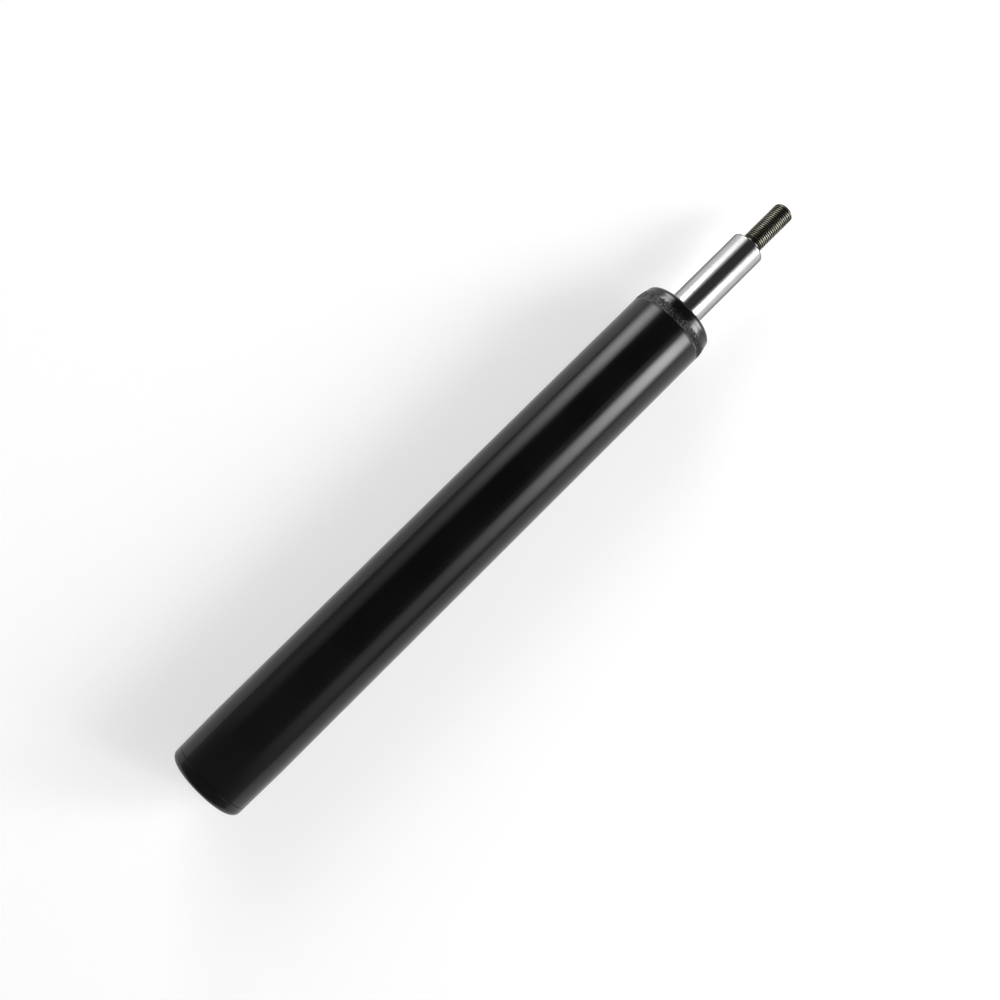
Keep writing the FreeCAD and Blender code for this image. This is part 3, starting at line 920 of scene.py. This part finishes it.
@dataclass
class StarSpring:
    """Thin star spring: a flat clamped hub, with fingers that drop to the plate they press."""

    node: str
    body: str
    joint: str
    hub_bottom: float
    hub_inside: float
    hub_outside: float
    tip_bottom: float
    tip_radius: float
    thickness: float = 0.4
    fingers: int = 6
    slot_width: float = 2.4
    segments: int = 132

    def build_slots(self) -> Piece:
        """Make the ring of blocks that part the fingers.

        Returns:
            The blocks, as one mesh object.
        """
        top = self.hub_bottom + 2 * self.thickness
        bottom = self.tip_bottom - self.thickness
        place = ((bottom + top) / 2 * MM, (self.hub_outside + self.tip_radius / 2) * MM, 0)
        size = (top - bottom, self.tip_radius, self.slot_width)
        bpy.ops.mesh.primitive_cube_add(size=MM, location=place, scale=size)
        blocks = bpy.context.object
        bpy.ops.object.transform_apply()
        edit(blocks)
        copies = self.fingers - 1
        bpy.ops.mesh.spin(steps=copies, dupli=True, angle=2 * math.pi / self.fingers * copies,
                          center=(0, 0, 0), axis=(1, 0, 0))
        bpy.ops.object.mode_set(mode="OBJECT")
        return blocks

    def build(self) -> list[Piece]:
        """Build and dress the spring.

        Returns:
            Its one piece.
        """
        hub_top = self.hub_bottom + self.thickness
        stations = [(self.hub_bottom, self.hub_inside), (self.hub_bottom, self.hub_outside),
                    (self.tip_bottom, self.tip_radius), (self.tip_bottom + self.thickness, self.tip_radius),
                    (hub_top, self.hub_outside), (hub_top, self.hub_inside)]
        spring = turn_piece("star_" + self.node, stations, self.segments, hollow=True)
        cut_by(spring, self.build_slots(), Cut.TAKE_AWAY)
        close_up(spring)
        dress(spring, SPRING_STEEL)
        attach(spring, self.body)
        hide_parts(self.node)
        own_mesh(spring)
        return [spring]


# Star springs over the check plates of the base valve and of the piston
BASE_STAR = StarSpring("base_check_spring", "barrel", "base_check_lift", hub_bottom=17.6, hub_inside=3.02,
                       hub_outside=4.8, tip_bottom=16.8, tip_radius=11.4)
PISTON_STAR = StarSpring("piston_check_spring", "rod", "piston_check_lift", hub_bottom=59.0, hub_inside=5.02,
                         hub_outside=6.8, tip_bottom=58.2, tip_radius=11.5)


@dataclass
class CoilSpring:
    """Coil spring with ground ends, on the piston nut, that loads the rebound plate."""

    low: float = 30.4
    high: float = 40.4
    mean_radius: float = 8.3
    wire: float = 1.9
    turns: float = 3.5
    plate_lift: float = 0.8
    sharp: float = 35.0
    wire_points: int = 32
    steps_per_turn: int = 72

    def build_coil(self) -> Piece:
        """Wind a circle of wire along the axis, close its ends and grind them flat.

        Returns:
            The coil's mesh object.
        """
        bpy.ops.mesh.primitive_circle_add(vertices=self.wire_points, radius=self.wire / 2 * MM,
                                          fill_type="NOTHING", rotation=(math.pi / 2, 0, 0),
                                          location=(self.low * MM, 0, -self.mean_radius * MM))
        coil = bpy.context.object
        coil.name = coil.data.name = "rebound_coil"
        bpy.ops.object.transform_apply()
        wind = coil.modifiers.new("wind", "SCREW")
        wind.axis = "X"
        wind.angle = 2 * math.pi * self.turns
        wind.screw_offset = (self.high - self.low) * MM
        wind.steps = wind.render_steps = round(self.steps_per_turn * self.turns)
        bpy.ops.object.modifier_apply(modifier=wind.name)
        edit(coil)
        reach = self.wire / 2 * MM + MERGE
        for end_x, sign in ((self.low, -1), (self.high, 1)):
            fill(coil, lambda p: abs(p.x - end_x * MM) < reach and abs(p.y) < MERGE and p.z * sign > 0)
        trim(self.low, self.high)
        close_up(coil, self.sharp)
        return coil

    def build(self) -> list[Piece]:
        """Build and dress the spring.

        Returns:
            Its one piece.
        """
        coil = self.build_coil()
        dress(coil, SPRING_STEEL)
        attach(coil, "rod")
        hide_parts("rebound_spring")
        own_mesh(coil)
        return [coil]


@dataclass
class Internals:
    """Carried-over nodes: the gland, the valves and the piston keep their solids' shapes."""

    replaced: tuple[str, ...] = ("outer_tube", "base_cap", "piston_rod", "base_check_spring",
                                 "piston_check_spring", "rebound_spring")

    def build(self) -> list[Piece]:
        """Dress every carried-over node with the finish of its slot.

        Returns:
            The nodes' objects.
        """
        pieces = []
        for part in frame["record"]["subparts"]:
            if part["node"] not in self.replaced:
                piece = frame["nodes"][part["node"]]
                dress(piece, SLOT_FINISH[part["material_slot"]])
                pieces.append(piece)
        return pieces


@dataclass(frozen=True)
class Softbox:
    """A strip softbox beside the axis: where it hangs, and how its light falls off along and across it."""

    name: str
    side: Side
    strength: float
    lean: float
    first: float
    last: float
    fade_in: float
    fade_out: float
    spread: Sequence[Pair]
    dimmest: float = 1.0
    growth: float = 1.0
    distance: float = 3000.0
    width: float = 3600.0

    def along(self, tree: Tree, x: Source) -> Node:
        """Find the light along the softbox: it grows towards the rod and fades at both ends.

        Args:
            tree: node tree of the glow.
            x: place along the card, from -0.5 to 0.5.

        Returns:
            The share of light.
        """
        length = self.last - self.first
        run = add_node(tree, "Math", {"operation": "ADD", 1: 0.5}, {0: x})
        rise = add_node(tree, "Math", {"operation": "POWER", 1: self.growth}, {0: run})
        level = add_node(tree, "MapRange", {"To Min": self.dimmest}, {"Value": rise})
        start = add_node(tree, "MapRange", {"From Max": self.fade_in / length}, {"Value": run})
        fade = 1 - self.fade_out / length
        end = add_node(tree, "MapRange", {"From Min": 1.0, "From Max": fade}, {"Value": run})
        faded = add_node(tree, "Math", MULTIPLY, {0: start, 1: end})
        return add_node(tree, "Math", MULTIPLY, {0: level, 1: faded})

    def across(self, tree: Tree, y: Source) -> Node:
        """Find the light across the softbox, from the stops of its spread.

        Args:
            tree: node tree of the glow.
            y: place across the card, upwards, from -0.5 to 0.5.

        Returns:
            The share of light.
        """
        span = add_node(tree, "Math", {"operation": "ADD", 1: 0.5}, {0: y})
        ramp = add_node(tree, "ValToRGB", links={"Fac": span})
        set_ramp(ramp, [(0.5 + math.tan(math.radians(angle)) * self.distance / self.width, grey(share))
                        for angle, share in self.spread])
        return ramp

    def material(self) -> bpy.types.Material:
        """Make the glow of the softbox: light is added, and what lies behind shows through.

        Returns:
            The glow's material.
        """
        made = bpy.data.materials.new(self.name)
        tree = new_tree(made)
        place = add_node(tree, "TexCoord").outputs["Object"]
        x, y, _ = add_node(tree, "SeparateXYZ", links={0: place}).outputs
        share = add_node(tree, "Math", MULTIPLY, {0: self.along(tree, x), 1: self.across(tree, y)})
        level = add_node(tree, "Math", {**MULTIPLY, 1: self.strength}, {0: share})
        glow = add_node(tree, "Emission", links={"Strength": level})
        clear = add_node(tree, "BsdfTransparent")
        both = add_node(tree, "AddShader", links={0: glow, 1: clear})
        add_node(tree, "OutputMaterial", links={"Surface": both})
        return made

    def build(self) -> None:
        """Hang the softbox, facing the axis."""
        bpy.ops.mesh.primitive_plane_add(size=1.0)
        card = bpy.context.object
        card.name = card.data.name = self.name
        tilt = math.radians(self.lean)
        axis = Vector((1, 0, 0))
        outward = Vector((0, self.side.value * math.sin(tilt), math.cos(tilt)))
        upward = Vector((0, -self.side.value * math.cos(tilt), math.sin(tilt)))
        middle = axis * ((self.first + self.last) / 2 * MM) + outward * (self.distance * MM)
        turned = Matrix((axis, upward, axis.cross(upward))).transposed().to_4x4()
        sized = Matrix.Diagonal(((self.last - self.first) * MM, self.width * MM, 1, 1))
        card.matrix_world = Matrix.Translation(middle) @ turned @ sized
        card.data.materials.append(self.material())
        card.visible_camera = False
        card.visible_shadow = False


# How light falls off across the softboxes: degrees upwards from the middle, and the share of light there
RIGHT_SPREAD = ((-30, 0.0), (-22, 0.2), (-14, 0.75), (-6, 1.0), (4, 1.0), (10, 0.75), (18, 0.06), (30, 0.04),
                (31, 0.0))
LEFT_SPREAD = ((-27, 0.0), (-19, 0.3), (-11, 0.8), (-4, 1.0), (3, 0.95), (12, 0.5), (20, 0.0))
ROD_SPREAD = ((-29, 0.0), (-28, 0.75), (-20, 1.0), (2, 1.0), (10, 0.9), (16, 0.55), (22, 0.25), (30, 0.1),
              (36, 0.0))
# Two long softboxes light the tube, two far ones the rim, and two dim ones between them the chromed rod
TUBE_RIGHT = Softbox("tube_softbox_right", Side.RIGHT, strength=25.7, lean=57.0, first=-650, last=1415,
                     fade_in=550, fade_out=50, spread=RIGHT_SPREAD, dimmest=0.035, growth=5.0)
TUBE_LEFT = replace(TUBE_RIGHT, name="tube_softbox_left", side=Side.LEFT, strength=14.5, lean=59.0,
                    spread=LEFT_SPREAD)
RIM_RIGHT = Softbox("rim_softbox_right", Side.RIGHT, strength=18.5, lean=61.0, first=2000, last=3900,
                    fade_in=200, fade_out=1000, spread=RIGHT_SPREAD)
RIM_LEFT = replace(RIM_RIGHT, name="rim_softbox_left", side=Side.LEFT, strength=12.5, lean=64.0,
                   spread=LEFT_SPREAD)
ROD_RIGHT = Softbox("rod_softbox_right", Side.RIGHT, strength=1.4, lean=60.0, first=1350, last=2200,
                    fade_in=60, fade_out=200, spread=ROD_SPREAD)
ROD_LEFT = replace(ROD_RIGHT, name="rod_softbox_left", side=Side.LEFT)


@dataclass
class Studio:
    """White table, strip softboxes beside the axis, a dim room and the camera."""

    softboxes: Sequence[Softbox] = (TUBE_RIGHT, TUBE_LEFT, RIM_RIGHT, RIM_LEFT, ROD_RIGHT, ROD_LEFT)
    floor_x: float = 200.0
    floor_z: float = -Shell.radius
    floor_size: float = 40000.0
    floor_tone: str = "#d2d2d2"
    floor_glow: float = 0.5
    room_shades: Sequence[Pair] = ((0.0, 0.36), (0.12, 0.26), (0.42, 0.1), (0.6, 0.05), (1.0, 0.045))
    wall_light: float = 0.13
    wall_edge: Pair = (-0.06, -0.2)
    camera_x: float = 140.262
    camera_height: float = 620.45
    lean: float = 6.527
    sway: float = -0.2536
    roll: float = 44.688
    focal_share: float = 1.17725
    sensor: float = 36.0
    sight: float = 100000.0

    def build_floor(self) -> None:
        """Lay the white table that the part rests on."""
        place = (self.floor_x * MM, 0, self.floor_z * MM)
        bpy.ops.mesh.primitive_plane_add(size=self.floor_size * MM, location=place)
        floor = bpy.context.object
        floor.name = floor.data.name = "white_table"
        made = bpy.data.materials.new("white_table_laminate")
        tree = new_tree(made)
        matte = add_node(tree, "BsdfDiffuse", {"Color": linear(self.floor_tone)})
        ray = add_node(tree, "LightPath").outputs
        either = {"operation": "MAXIMUM"}
        seen = add_node(tree, "Math", either, {0: ray["Is Camera Ray"], 1: ray["Is Glossy Ray"]})
        shown = add_node(tree, "Math", either, {0: seen, 1: ray["Is Transmission Ray"]})
        level = add_node(tree, "Math", {**MULTIPLY, 1: self.floor_glow}, {0: shown})
        glow = add_node(tree, "Emission", links={"Strength": level})
        both = add_node(tree, "AddShader", links={0: matte, 1: glow})
        add_node(tree, "OutputMaterial", links={"Surface": both})
        floor.data.materials.append(made)

    def light_room(self) -> None:
        """Light the room: pale at the horizon and behind the closed end, dark overhead."""
        world = bpy.data.worlds.new("studio_room")
        bpy.context.scene.world = world
        tree = new_tree(world)
        place = add_node(tree, "TexCoord").outputs["Generated"]
        x, _, z = add_node(tree, "SeparateXYZ", links={0: place}).outputs
        height = add_node(tree, "ValToRGB", links={"Fac": z})
        set_ramp(height, [(rise, grey(shade)) for rise, shade in self.room_shades])
        near, far = self.wall_edge
        behind = add_node(tree, "MapRange", {"From Min": near, "From Max": far, "To Max": self.wall_light},
                          {"Value": x})
        total = add_node(tree, "Math", {"operation": "ADD"}, {0: height, 1: behind})
        room = add_node(tree, "Background", links={"Color": total})
        add_node(tree, "OutputWorld", links={"Surface": room})

    def hang_camera(self) -> None:
        """Hang the camera above the part, leaning along the axis and rolled to run it corner to corner."""
        lean, sway, roll = (math.radians(a) for a in (self.lean, self.sway, self.roll))
        right = Vector((math.cos(lean), 0, math.sin(lean)))
        ahead = Vector((math.sin(lean), 0, -math.cos(lean)))
        aside = Vector((0, 1, 0))
        look = math.cos(sway) * ahead + math.sin(sway) * aside
        across = math.cos(sway) * aside - math.sin(sway) * ahead
        image_right = math.cos(roll) * right - math.sin(roll) * across
        image_up = math.sin(roll) * right + math.cos(roll) * across
        bpy.ops.object.camera_add(location=(self.camera_x * MM, 0, self.camera_height * MM))
        camera = bpy.context.object
        camera.name = camera.data.name = "photo_camera"
        axes = Matrix((image_right, image_up, -look)).transposed().to_4x4()
        camera.matrix_world = Matrix.Translation(camera.location) @ axes
        camera.data.sensor_fit = "HORIZONTAL"
        camera.data.sensor_width = self.sensor
        camera.data.lens = self.sensor * self.focal_share
        camera.data.clip_end = self.sight * MM
        bpy.context.scene.camera = camera

    def build(self) -> None:
        """Set up the table, the lights and the camera."""
        self.build_floor()
        for softbox in self.softboxes:
            softbox.build()
        self.light_room()
        self.hang_camera()
        bpy.context.scene.view_settings.view_transform = "Standard"


def main() -> None:
    """Build every sub-assembly in order and report its pieces."""
    logging.basicConfig(level=logging.INFO, format="%(name)s: %(message)s")
    for assembly in (Shell(), Rod(), BASE_STAR, PISTON_STAR, CoilSpring(), Internals()):
        for piece in assembly.build():
            LOG.info("%s: %s, %d faces", type(assembly).__name__, piece.name, len(piece.data.polygons))
    Studio().build()


if __name__ == "__main__":
    main()
